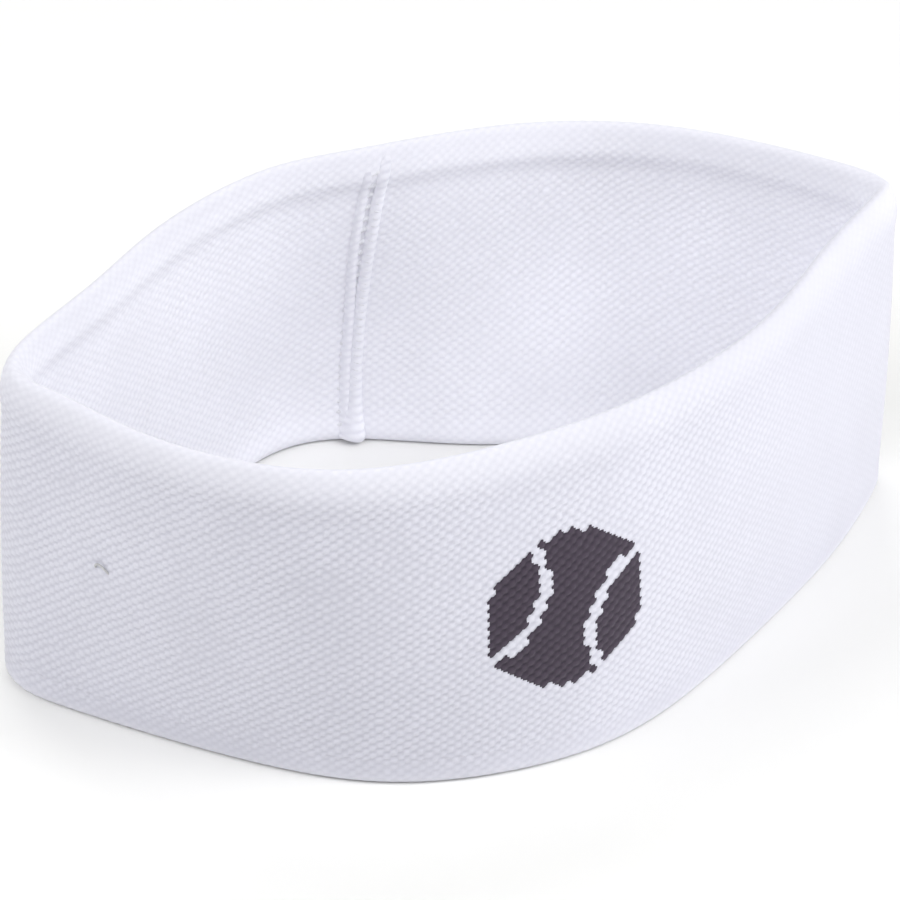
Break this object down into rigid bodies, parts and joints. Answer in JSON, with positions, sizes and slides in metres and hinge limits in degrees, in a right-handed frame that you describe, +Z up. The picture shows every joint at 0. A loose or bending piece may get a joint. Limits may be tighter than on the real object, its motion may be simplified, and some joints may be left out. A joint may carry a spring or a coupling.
{
  "type": "sports headband",
  "caption": "Wide knitted sports headband with rolled edges, elastic between two layers, a seam at the back and a dark ball emblem on the front",
  "frame": {"origin": "on the surface that the band stands on, below the middle of its box", "axes": "+X runs from the left crease to the right crease, -Y is the front with the emblem, +Y is the back with the seam, +Z is up"},
  "size_m": [0.1631, 0.1121, 0.06],
  "materials": {
    "white_knit": "matte knitted cotton blend",
    "inner_knit": "matte knitted cotton blend",
    "edge_knit": "matte, slightly fluffy knit",
    "elastic": "matte covered elastic",
    "dark_yarn": "matte dyed yarn",
    "sewing_thread": "fine spun polyester thread"
  },
  "bodies": {
    "root": {"outer_layer": "white_knit", "inner_layer": "inner_knit", "top_edge_roll": "edge_knit", "bottom_edge_roll": "edge_knit", "elastic_strands": "elastic", "ball_emblem": "dark_yarn", "emblem_floats": "dark_yarn", "seam_flap_left": "inner_knit", "seam_flap_right": "inner_knit", "seam_stitches": "sewing_thread", "overlock_thread": "sewing_thread"}
  },
  "joints": []
}
